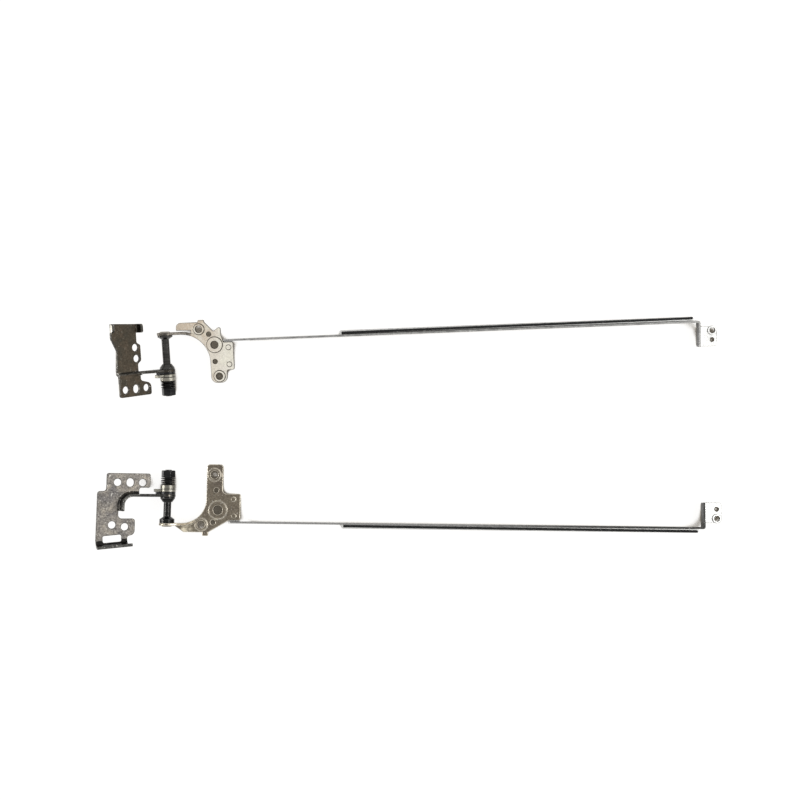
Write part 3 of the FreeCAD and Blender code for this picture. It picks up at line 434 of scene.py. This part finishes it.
# The right hinge's washers are painted darker than the left ones: painted shade on the same ground steel.
WASHER_TONES_AND_SHADE = {"left": ((0.24, 0.228, 0.188), (0.36, 0.345, 0.30)),
                "right": ((0.17, 0.162, 0.135), (0.27, 0.26, 0.225))}
turned_to = {}
black_oxide = {}
oxide_edge = {}
bright_steel = {}
bright_edge = {}
for joint in frame["joints"]:
    side = joint["name"].split("_")[0]
    along = Vector(joint["axis"])
    turn = tuple(Vector((0.0, -1.0, 0.0)).rotation_difference(along).to_euler())
    turned_to[side] = turn
    black_oxide[side] = lined_metal(side + "_black_oxide", OXIDE, WORN_OXIDE, LATHE_SCALE, 0.22,
                                    ACROSS_SHAFT, turn)
    oxide_edge[side] = lined_metal(side + "_worn_oxide_edge", WORN_OXIDE, BARE_OXIDE, LATHE_SCALE, 0.22,
                                   ACROSS_SHAFT, turn)
    bright_steel[side] = lined_metal(side + "_bright_washer_steel", *WASHER_TONES_AND_SHADE[side], GROUND_SCALE, 0.26,
                                     ACROSS_SHAFT, turn)
    bright_edge[side] = lined_metal(side + "_bright_washer_edge", *WASHER_EDGE, GROUND_SCALE, 0.2,
                                    ACROSS_SHAFT, turn)
for side in ("left", "right"):
    plate = eased_copy(side + "_friction_plate", SMALL_EDGE, black_oxide[side], oxide_edge[side])

# Tab washers
# Bright ground steel, next to the friction plate, with a longer tab that the base bracket holds still.
WASHER_EASE = 0.14 * MM
for side in ("left", "right"):
    washer = eased_copy(side + "_tab_washer", WASHER_EASE, bright_steel[side], bright_edge[side])

# Shafts
# Turned steel, blackened: riveted into the foot of the display bracket, thinned to a neck, then a shoulder,
# the journal in the eye, two flats for the keyed washer and a threaded end.
RIVETED_END = 0.5 * MM
FOOT_WAY = {"left": -1.0, "right": 1.0}
# The left shaft's oxide is painted lighter than the right one's: painted sheen standing for the lamps'
# highlights along its neck.
SHAFT_OXIDE_AND_SHEEN = {"left": ((0.042, 0.041, 0.038), (0.075, 0.073, 0.068), LATHE_SCALE, 0.04),
          "right": ((0.014, 0.014, 0.0135), (0.032, 0.0315, 0.030), LATHE_SCALE, 0.12)}
riveted_steel = plated_steel("riveted_steel", (0.40, 0.375, 0.33), (0.22, 0.205, 0.18),
                             (0.50, 0.47, 0.41), (0.75, 0.73, 0.68), FINE_PATCHES, FINE_GRAIN, 0.26)
for joint in frame["joints"]:
    side = joint["name"].split("_")[0]
    towards_foot = Vector(joint["axis"]) * FOOT_WAY[side]
    shell = merged_copy(side + "_shaft")
    foot_end = max(corner.co.dot(towards_foot) for corner in shell.verts)
    for face in shell.faces:
        if face.calc_center_median().dot(towards_foot) > foot_end - RIVETED_END:
            face.material_index = 2
    shaft_oxide_and_sheen = lined_metal(side + "_oxide_and_painted_sheen", *SHAFT_OXIDE_AND_SHEEN[side], ACROSS_SHAFT, turned_to[side])
    finishes = (shaft_oxide_and_sheen, oxide_edge[side], riveted_steel)
    turned = eased_piece(side + "_shaft", shell, SMALL_EDGE, finishes, 1)

# Keyed washers
# Bright steel on the shaft's flats, so that it turns with the display.
for side in ("left", "right"):
    washer = eased_copy(side + "_keyed_washer", WASHER_EASE, bright_steel[side], bright_edge[side])

# Disc springs
# Cup-shaped spring steel rings, blackened, turned over one against the next so that they press the washers
# together.
SPRINGS = 4
SPRING_SHEET = 0.5 * MM
SPRING_WIDTH = 1.4 * MM
SPRING_CONE = 0.2 * MM
SPRING_RADIUS = 3.05 * MM


def spring_stack_tree():
    """Rings with a rounded section in a row, every other one turned over."""
    tree = bpy.data.node_groups.new("disc_spring_stack", "GeometryNodeTree")
    face = tree.interface
    face.new_socket("Stack", in_out="OUTPUT", socket_type="NodeSocketGeometry")
    face.new_socket("Springs", in_out="INPUT", socket_type="NodeSocketInt")
    for name in ("Pitch", "Mean Radius", "Width", "Sheet", "Cone Angle"):
        face.new_socket(name, in_out="INPUT", socket_type="NodeSocketFloat")
    face.new_socket("Finish", in_out="INPUT", socket_type="NodeSocketMaterial")
    made = tree.nodes
    links = tree.links
    given = made.new("NodeGroupInput")
    result = made.new("NodeGroupOutput")
    path = made.new("GeometryNodeCurvePrimitiveCircle")
    path.inputs["Resolution"].default_value = 64
    links.new(given.outputs["Mean Radius"], path.inputs["Radius"])
    outline = made.new("GeometryNodeCurvePrimitiveCircle")
    outline.inputs["Resolution"].default_value = 16
    outline.inputs["Radius"].default_value = 0.5
    size = made.new("ShaderNodeCombineXYZ")
    links.new(given.outputs["Width"], size.inputs["X"])
    links.new(given.outputs["Sheet"], size.inputs["Y"])
    size.inputs["Z"].default_value = 1.0
    squeezed = made.new("GeometryNodeTransform")
    links.new(outline.outputs["Curve"], squeezed.inputs["Geometry"])
    links.new(size.outputs[0], squeezed.inputs["Scale"])
    lean = made.new("ShaderNodeCombineXYZ")
    links.new(given.outputs["Cone Angle"], lean.inputs["Z"])
    leaning = made.new("GeometryNodeTransform")
    links.new(squeezed.outputs[0], leaning.inputs["Geometry"])
    links.new(lean.outputs[0], leaning.inputs["Rotation"])
    ring = made.new("GeometryNodeCurveToMesh")
    links.new(path.outputs["Curve"], ring.inputs["Curve"])
    links.new(leaning.outputs[0], ring.inputs["Profile Curve"])
    row = made.new("GeometryNodeMeshLine")
    step = made.new("ShaderNodeCombineXYZ")
    links.new(given.outputs["Pitch"], step.inputs["Z"])
    links.new(given.outputs["Springs"], row.inputs["Count"])
    links.new(step.outputs[0], row.inputs["Offset"])
    number = made.new("GeometryNodeInputIndex")
    odd = made.new("ShaderNodeMath")
    odd.operation = "MODULO"
    odd.inputs[1].default_value = 2.0
    links.new(number.outputs[0], odd.inputs[0])
    half_turn = made.new("ShaderNodeMath")
    half_turn.operation = "MULTIPLY"
    half_turn.inputs[1].default_value = math.pi
    links.new(odd.outputs[0], half_turn.inputs[0])
    turned_over = made.new("ShaderNodeCombineXYZ")
    links.new(half_turn.outputs[0], turned_over.inputs["X"])
    rotation = made.new("FunctionNodeEulerToRotation")
    links.new(turned_over.outputs[0], rotation.inputs[0])
    stacked = made.new("GeometryNodeInstanceOnPoints")
    links.new(row.outputs["Mesh"], stacked.inputs["Points"])
    links.new(ring.outputs["Mesh"], stacked.inputs["Instance"])
    links.new(rotation.outputs[0], stacked.inputs["Rotation"])
    real = made.new("GeometryNodeRealizeInstances")
    links.new(stacked.outputs[0], real.inputs[0])
    finish = made.new("GeometryNodeSetMaterial")
    links.new(real.outputs[0], finish.inputs["Geometry"])
    links.new(given.outputs["Finish"], finish.inputs["Material"])
    links.new(finish.outputs[0], result.inputs["Stack"])
    return tree


SPRING_STACK = spring_stack_tree()
for joint in frame["joints"]:
    side = joint["name"].split("_")[0]
    node = side + "_disc_springs"
    along = Vector(joint["axis"])
    centre = Vector(joint["pos_m"])
    places = [(corner.co - centre).dot(along) for corner in nodes[node].data.vertices]
    depth = max(places) - min(places)
    first = min(places) + (SPRING_SHEET + SPRING_CONE) / 2
    sizes = {"Springs": SPRINGS, "Pitch": (depth - SPRING_SHEET - SPRING_CONE) / (SPRINGS - 1),
             "Mean Radius": SPRING_RADIUS - SPRING_WIDTH / 2, "Width": SPRING_WIDTH, "Sheet": SPRING_SHEET,
             "Cone Angle": math.atan(SPRING_CONE / SPRING_WIDTH), "Finish": black_oxide[side]}
    springs = bpy.data.objects.new(node + "_form", bpy.data.meshes.new(node + "_start"))
    bpy.context.scene.collection.objects.link(springs)
    stack = springs.modifiers.new("stack", "NODES")
    stack.node_group = SPRING_STACK
    for socket in SPRING_STACK.interface.items_tree:
        if socket.in_out == "INPUT":
            stack[socket.identifier] = sizes[socket.name]
    evaluated = springs.evaluated_get(bpy.context.evaluated_depsgraph_get())
    rings = bpy.data.meshes.new_from_object(evaluated)
    springs.modifiers.remove(stack)
    turn = Vector((0.0, 0.0, 1.0)).rotation_difference(along).to_matrix().to_4x4()
    rings.transform(Matrix.Translation(centre + along * first) @ turn)
    rings.shade_smooth()
    springs.data = rings
    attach(springs, nodes[node]["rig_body"])
    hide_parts(node)

# Lock nuts
# A blackened hexagon nut on the threaded end sets how hard the springs press.
for side in ("left", "right"):
    nut = eased_copy(side + "_lock_nut", SMALL_EDGE, black_oxide[side], oxide_edge[side])

# Display brackets
# Stamped from 1.1 mm plated steel, with raised bosses for the lid's screws and a foot that stands up to hold
# the riveted end of the shaft. The left one is painted pale and the right one brown-grey: this difference in
# tone is painted reflection, standing for the bright and dark surroundings that the two plates catch.
# Towards lower x, between TONGUE_START and TONGUE_END, the right plate goes over to a pale tone: a painted
# highlight where its slanting tongue catches the light.
TONGUE_START = -91.5 * MM
TONGUE_END = -87.0 * MM
# Towards lower x, between EYE_START and EYE_END, the right bracket's sheared edges go over to a pale tone: a
# painted highlight on the edge of the foot's eye.
EYE_START = -98.6 * MM
EYE_END = -97.4 * MM
PALE_START = -90.0 * MM
PALE_END = -78.0 * MM
BROAD_PATCHES = 120.0
FOLD_PATCHES = 200.0
BOSS_EDGE = 0.3 * MM
left_display_plating_and_reflection = plated_steel("left_display_plating_and_reflection", (0.92, 0.88, 0.78), (0.84, 0.78, 0.68),
                                    (0.90, 0.86, 0.74), (0.94, 0.92, 0.86), BROAD_PATCHES, GRAIN_SCALE, 0.24,
                                    ((0.68, 0.58, 0.46), PALE_START, PALE_END), 0.12)
# The left display bracket's fold finish is painted shade: its walls, bends and boss sides are darkened to
# stand for the shade in them.
left_display_fold_painted_shade = plated_steel("left_display_fold_painted_shade", (0.22, 0.185, 0.155), (0.14, 0.115, 0.10),
                                 (0.30, 0.25, 0.20), (0.50, 0.46, 0.40), BROAD_PATCHES, GRAIN_SCALE, 0.28)
left_display_shear = plated_steel("left_display_shear", (0.115, 0.104, 0.088), (0.065, 0.058, 0.050),
                                  (0.18, 0.163, 0.138), (0.48, 0.45, 0.40), FINE_PATCHES, FINE_GRAIN, 0.28)
right_display_plating_and_reflection = plated_steel("right_display_plating_and_reflection", (0.185, 0.157, 0.120), (0.160, 0.134, 0.107),
                                     (0.215, 0.186, 0.140), (0.36, 0.33, 0.28), BROAD_PATCHES, GRAIN_SCALE,
                                     0.30, ((0.88, 0.80, 0.62), TONGUE_START, TONGUE_END))
# The right display bracket's fold finish is a painted highlight: its walls, bends and boss sides are painted
# pale to stand for the light they catch.
right_display_fold_painted_highlight = plated_steel("right_display_fold_painted_highlight", (0.50, 0.455, 0.375), (0.36, 0.32, 0.26),
                                  (0.60, 0.55, 0.44), (0.80, 0.77, 0.70), FOLD_PATCHES, GRAIN_SCALE, 0.26)
right_display_shear_and_highlight = plated_steel("right_display_shear_and_highlight", (0.20, 0.168, 0.12), (0.14, 0.115, 0.085),
                                   (0.28, 0.24, 0.165), (0.55, 0.50, 0.42), FINE_PATCHES, FINE_GRAIN, 0.26,
                                   ((0.80, 0.78, 0.72), EYE_START, EYE_END))
DISPLAY_THICKEST = 1.565 * MM
display_finishes = {"left": (left_display_plating_and_reflection, left_display_fold_painted_shade, left_display_shear, hole_wall),
                    "right": (right_display_plating_and_reflection, right_display_fold_painted_highlight, right_display_shear_and_highlight, hole_wall)}
# The left bracket's eased edges take its dark sheared finish, a painted shade outline round bosses and edges;
# the right one's wider eased edges take its pale fold finish, a painted highlight on the boss rims.
display_edge_light_and_shade = {"left": (BRACKET_EDGE, SHEARED), "right": (BOSS_EDGE, FOLD)}
for side, finishes in display_finishes.items():
    edge, edge_finish = display_edge_light_and_shade[side]
    bracket = stamped_copy(side + "_display_bracket", edge, DISPLAY_THICKEST, HOLE_ACROSS, finishes,
                           edge_finish)

# Rails
# Stainless strip, 0.8 mm, folded: a foot under the display bracket, a wall on edge along the lid, a flange
# along the bottom of the wall and a screw tab turned flat at the far end.
UPWARDS = Vector((0.0, 0.0, 1.0))
WALL_END = 110.0 * MM
TURN_START = 116.0 * MM
MIDDLE = 0.0
DARK_FROM = 90.0 * MM
RAIL_PATCHES = 300.0
DIM_FLECK = (0.30, 0.295, 0.285)


def rolled_strip(name, near, far, fleck, start, end):
    """Stainless strip without patches, whose tone goes over from near to far along x."""
    return plated_steel(name, far, far, far, fleck, RAIL_PATCHES, FINE_GRAIN, 0.26, (near, start, end),
                        swept=("Tone", "Cool Tint", "Warm Tint"))


rail_face = plated_steel("rail_face", (0.86, 0.86, 0.84), (0.78, 0.78, 0.76), (0.90, 0.90, 0.87),
                         (0.95, 0.95, 0.94), RAIL_PATCHES, FINE_GRAIN, 0.26, contrast=0.12)
left_rail_wall = rolled_strip("left_rail_wall", (0.34, 0.335, 0.325), (0.10, 0.099, 0.096),
                              (0.55, 0.54, 0.52), WALL_END, TURN_START)
left_rail_edge = plated_steel("left_rail_edge", (0.36, 0.355, 0.345), (0.26, 0.257, 0.25),
                              (0.42, 0.415, 0.40), (0.62, 0.61, 0.59), RAIL_PATCHES, FINE_GRAIN, 0.26)
right_rail_wall = rolled_strip("right_rail_wall", (0.30, 0.295, 0.285), (0.045, 0.044, 0.042), DIM_FLECK,
                               MIDDLE, DARK_FROM)
right_rail_edge = rolled_strip("right_rail_edge", (0.32, 0.315, 0.305), (0.055, 0.054, 0.052), DIM_FLECK,
                               MIDDLE, DARK_FROM)
RAIL_THICKEST = 1.3 * MM
RAIL_EDGE = 0.1 * MM
RAIL_FLAT = 0.6
rail_finishes = {"left": (rail_face, left_rail_wall, left_rail_edge, hole_wall),
                 "right": (rail_face, right_rail_wall, right_rail_edge, hole_wall)}
for side, finishes in rail_finishes.items():
    rail = stamped_copy(side + "_rail", RAIL_EDGE, RAIL_THICKEST, HOLE_ACROSS, finishes, SHEARED, UPWARDS,
                        RAIL_FLAT)

# Rail strips
# A thin line of black foam, cut from tape and stuck a little aslant on the rail's flange to cushion the panel.
foam = bpy.data.materials.new("black_foam")
foam.use_nodes = True
foam_nodes = foam.node_tree.nodes
foam_links = foam.node_tree.links
foam_shader = foam_nodes["Principled BSDF"]
foam_shader.inputs["Roughness"].default_value = 0.85
foam_place = foam_nodes.new("ShaderNodeTexCoord")
foam_cells = foam_nodes.new("ShaderNodeTexVoronoi")
foam_cells.inputs["Scale"].default_value = 3500.0
foam_links.new(foam_place.outputs["Object"], foam_cells.inputs["Vector"])
foam_tone = foam_nodes.new("ShaderNodeMix")
foam_tone.data_type = "RGBA"
foam_tone.inputs["A"].default_value = (0.003, 0.003, 0.003, 1.0)
foam_tone.inputs["B"].default_value = (0.010, 0.010, 0.010, 1.0)
foam_links.new(foam_cells.outputs["Distance"], foam_tone.inputs["Factor"])
foam_links.new(foam_tone.outputs["Result"], foam_shader.inputs["Base Color"])
foam_bump = foam_nodes.new("ShaderNodeBump")
foam_bump.inputs["Strength"].default_value = 0.4
foam_bump.inputs["Distance"].default_value = 0.03 * MM
foam_links.new(foam_cells.outputs["Distance"], foam_bump.inputs["Height"])
foam_links.new(foam_bump.outputs["Normal"], foam_shader.inputs["Normal"])
for side in ("left", "right"):
    strip = eased_copy(side + "_rail_strip", SMALL_EDGE, foam, foam)

# Rivets
# Plated with the bracket, two to a hinge, set through the display bracket and the rail's foot.
# The rivets' rims are painted: a dark ring on the left ones as painted shade round the head, a pale ring on
# the right ones as a painted highlight.
rivet_rim_light_and_shade = {"left": left_display_shear, "right": right_display_fold_painted_highlight}
for side, finishes in display_finishes.items():
    shell = merged_copy(side + "_rivets")
    across = main_direction(shell)
    for face in shell.faces:
        face.material_index = 0 if abs(face.normal.dot(across)) > FLAT_ENOUGH else 1
    rivets = eased_piece(side + "_rivets", shell, SMALL_EDGE, (finishes[PLATE], rivet_rim_light_and_shade[side]), 1)

# Table
# A plain white sheet under the pair: it looks white to the camera and in the metal, and its paper keeps the
# lamps' shadow.
# Its white glow is dimmed and tinted brown where ambient occlusion finds the floor covered: a painted shadow
# under and beside the parts, with painted brown bounce light.
FLOOR_SIZE = 6.0
floor_mesh = bpy.data.meshes.new("table")
half = FLOOR_SIZE / 2
corners = [(-half, -half, 0), (half, -half, 0), (half, half, 0), (-half, half, 0)]
floor_mesh.from_pydata(corners, [], [(0, 1, 2, 3)])
floor = bpy.data.objects.new("table", floor_mesh)
bpy.context.scene.collection.objects.link(floor)
floor_finish = bpy.data.materials.new("white_table")
floor_finish.use_nodes = True
floor_nodes = floor_finish.node_tree.nodes
floor_links = floor_finish.node_tree.links
floor_nodes.clear()
floor_out = floor_nodes.new("ShaderNodeOutputMaterial")
floor_paper = floor_nodes.new("ShaderNodeBsdfDiffuse")
floor_paper.inputs["Color"].default_value = (0.25, 0.235, 0.21, 1.0)
floor_glow = floor_nodes.new("ShaderNodeEmission")
floor_rays = floor_nodes.new("ShaderNodeLightPath")


def seen_rays(tree, links, rays):
    """1 for rays from the camera and for those that metal or glass sends on, else 0."""
    total = rays.outputs["Is Camera Ray"]
    for name in ("Is Glossy Ray", "Is Transmission Ray"):
        either = tree.new("ShaderNodeMath")
        either.operation = "MAXIMUM"
        links.new(total, either.inputs[0])
        links.new(rays.outputs[name], either.inputs[1])
        total = either.outputs[0]
    return total


# Painted shadow: the glow fades towards a brown tint where parts cover the floor.
floor_open = floor_nodes.new("ShaderNodeAmbientOcclusion")
floor_open.samples = 32
floor_open.inputs["Distance"].default_value = 8 * MM
floor_painted_shadow = floor_nodes.new("ShaderNodeMapRange")
floor_painted_shadow.inputs["From Min"].default_value = 0.40
floor_painted_shadow.inputs["From Max"].default_value = 0.49
floor_painted_shadow.inputs["To Min"].default_value = 0.10
floor_links.new(floor_open.outputs["AO"], floor_painted_shadow.inputs["Value"])
floor_painted_bounce_tint = floor_nodes.new("ShaderNodeMix")
floor_painted_bounce_tint.data_type = "RGBA"
floor_painted_bounce_tint.inputs["A"].default_value = (0.55, 0.44, 0.29, 1.0)
floor_painted_bounce_tint.inputs["B"].default_value = (1.0, 1.0, 1.0, 1.0)
floor_links.new(floor_painted_shadow.outputs["Result"], floor_painted_bounce_tint.inputs["Factor"])
floor_links.new(floor_painted_bounce_tint.outputs["Result"], floor_glow.inputs["Color"])
floor_lift = floor_nodes.new("ShaderNodeMath")
floor_lift.operation = "MULTIPLY"
floor_links.new(seen_rays(floor_nodes, floor_links, floor_rays), floor_lift.inputs[0])
floor_level = floor_nodes.new("ShaderNodeMath")
floor_level.operation = "MULTIPLY"
floor_level.inputs[1].default_value = 0.9
floor_links.new(floor_painted_shadow.outputs["Result"], floor_level.inputs[0])
floor_links.new(floor_level.outputs[0], floor_lift.inputs[1])
floor_links.new(floor_lift.outputs[0], floor_glow.inputs["Strength"])
floor_sum = floor_nodes.new("ShaderNodeAddShader")
floor_links.new(floor_paper.outputs[0], floor_sum.inputs[0])
floor_links.new(floor_glow.outputs[0], floor_sum.inputs[1])
floor_links.new(floor_sum.outputs[0], floor_out.inputs["Surface"])
floor_mesh.materials.append(floor_finish)

# Light
# White surroundings, with long soft boxes to the right and left of the pair and a low one off its far corner.
world = bpy.data.worlds.new("white_room")
bpy.context.scene.world = world
world.use_nodes = True
world_nodes = world.node_tree.nodes
world_links = world.node_tree.links
world_nodes.clear()
world_out = world_nodes.new("ShaderNodeOutputWorld")
world_light = world_nodes.new("ShaderNodeBackground")
world_light.inputs["Strength"].default_value = 0.55
world_seen = world_nodes.new("ShaderNodeBackground")
world_seen.inputs["Strength"].default_value = 1.0
world_tone = world_nodes.new("ShaderNodeMix")
world_tone.data_type = "RGBA"
world_tone.inputs["A"].default_value = (0.8, 0.8, 0.8, 1.0)
world_tone.inputs["B"].default_value = (1.0, 1.0, 1.0, 1.0)
world_links.new(world_tone.outputs["Result"], world_seen.inputs["Color"])
world_mix = world_nodes.new("ShaderNodeMixShader")
world_rays = world_nodes.new("ShaderNodeLightPath")
world_links.new(world_rays.outputs["Is Camera Ray"], world_tone.inputs["Factor"])
world_links.new(seen_rays(world_nodes, world_links, world_rays), world_mix.inputs[0])
world_links.new(world_light.outputs[0], world_mix.inputs[1])
world_links.new(world_seen.outputs[0], world_mix.inputs[2])
world_links.new(world_mix.outputs[0], world_out.inputs["Surface"])

CENTRE = Vector((0.0, 0.0, 0.0))


def soft_box(name, lean_x, lean_y, distance, width, length, radiance):
    """An area lamp that leans from overhead by the given angles and faces the pair."""
    towards = Vector((math.tan(math.radians(lean_x)), math.tan(math.radians(lean_y)), 1.0)).normalized()
    lamp = bpy.data.lights.new(name, "AREA")
    lamp.shape = "RECTANGLE"
    lamp.size = width
    lamp.size_y = length
    lamp.energy = radiance * math.pi * width * length
    made = bpy.data.objects.new(name, lamp)
    made.location = CENTRE + towards * distance
    made.rotation_euler = towards.to_track_quat("Z", "Y").to_euler()
    bpy.context.scene.collection.objects.link(made)
    return made


soft_box("right_soft_box", lean_x=54.0, lean_y=8.0, distance=0.9, width=0.05, length=0.7, radiance=26.0)
soft_box("left_soft_box", lean_x=-70.0, lean_y=0.0, distance=0.9, width=0.06, length=0.7, radiance=24.0)
soft_box("low_soft_box", lean_x=70.0, lean_y=70.0, distance=0.9, width=0.3, length=0.15, radiance=5.0)

# Camera
# Straight above the pair, turned a little so that the right rail runs slightly down the picture.
PICTURE_CENTRE = (-5.93 * MM, 12.73 * MM)
CAMERA_HEIGHT = 400 * MM
PICTURE_WIDTH = 336 * MM
CAMERA_TURN = math.radians(0.66)
camera_data = bpy.data.cameras.new("camera")
camera_data.sensor_width = 36.0
camera_data.lens = camera_data.sensor_width * CAMERA_HEIGHT / PICTURE_WIDTH
camera_data.clip_start = 0.01
camera = bpy.data.objects.new("camera", camera_data)
camera.location = (PICTURE_CENTRE[0], PICTURE_CENTRE[1], CAMERA_HEIGHT)
camera.rotation_euler = (0.0, 0.0, CAMERA_TURN)
bpy.context.scene.collection.objects.link(camera)
bpy.context.scene.camera = camera
bpy.context.scene.view_settings.view_transform = "Standard"
